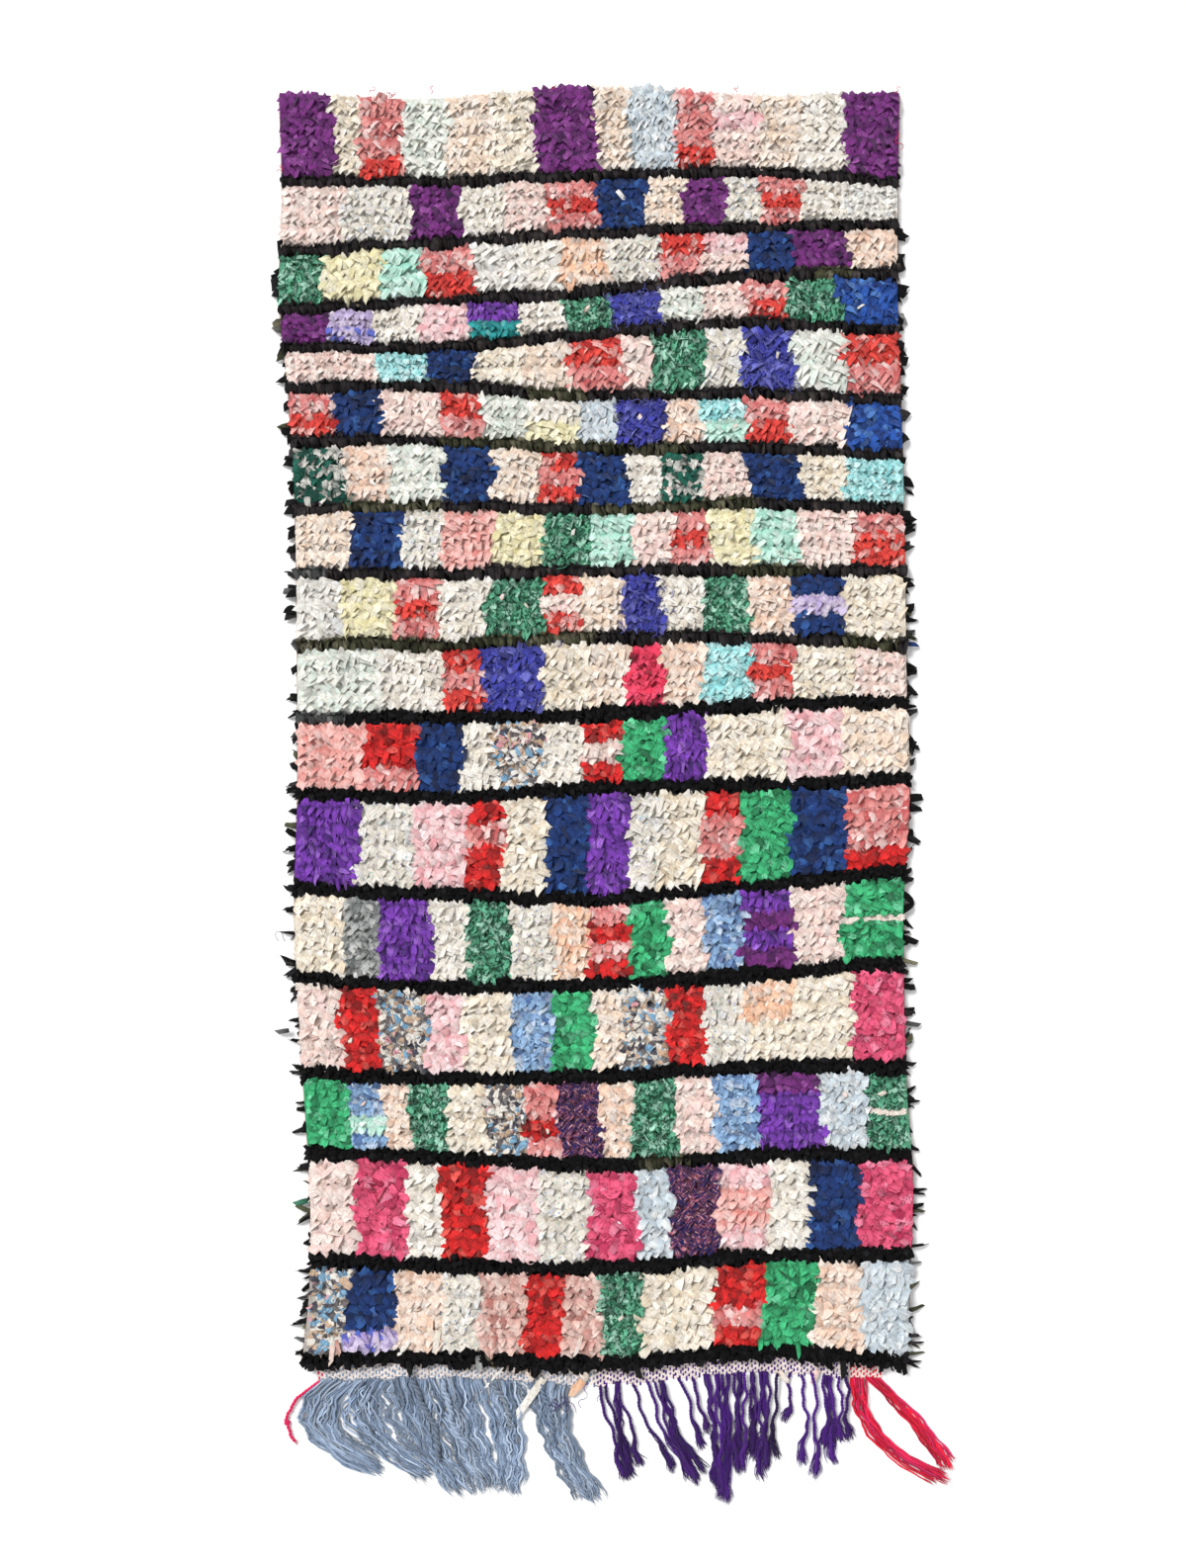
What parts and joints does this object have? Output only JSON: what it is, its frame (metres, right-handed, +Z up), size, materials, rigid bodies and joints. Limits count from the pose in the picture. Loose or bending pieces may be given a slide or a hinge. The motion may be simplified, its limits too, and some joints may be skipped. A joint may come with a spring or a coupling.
{
  "type": "moroccan rag rug",
  "caption": "Narrow knotted rag rug lying flat, with bands of coloured rag tufts parted by black rows, a woven heading and a long warp fringe at one end.",
  "frame": {"origin": "centre of the whole rug's box in plan, fringe included, on the surface that it lies on", "axes": "+X across the rug, to the right in the picture; +Y along the rug, away from the fringe; +Z up out of the pile"},
  "size_m": [1.1142, 2.3262, 0.027],
  "materials": {
    "rag_pile": "matt cut rags of cotton and jersey in many colours, knotted in rows with black rows between the bands",
    "pink_yarn": "matt plied yarn, pink and red",
    "blue_yarn": "matt loosely plied cotton yarn, grey blue, with a pale woven heading",
    "purple_yarn": "matt twisted yarn, deep purple, with a pale woven heading",
    "red_yarn": "slightly glossy plied yarn, red and pink, with a pale woven heading"
  },
  "bodies": {
    "root": {"rug_pile": "rag_pile", "fringe_pink": "pink_yarn", "fringe_blue": "blue_yarn", "fringe_purple": "purple_yarn", "fringe_red": "red_yarn"}
  },
  "joints": []
}
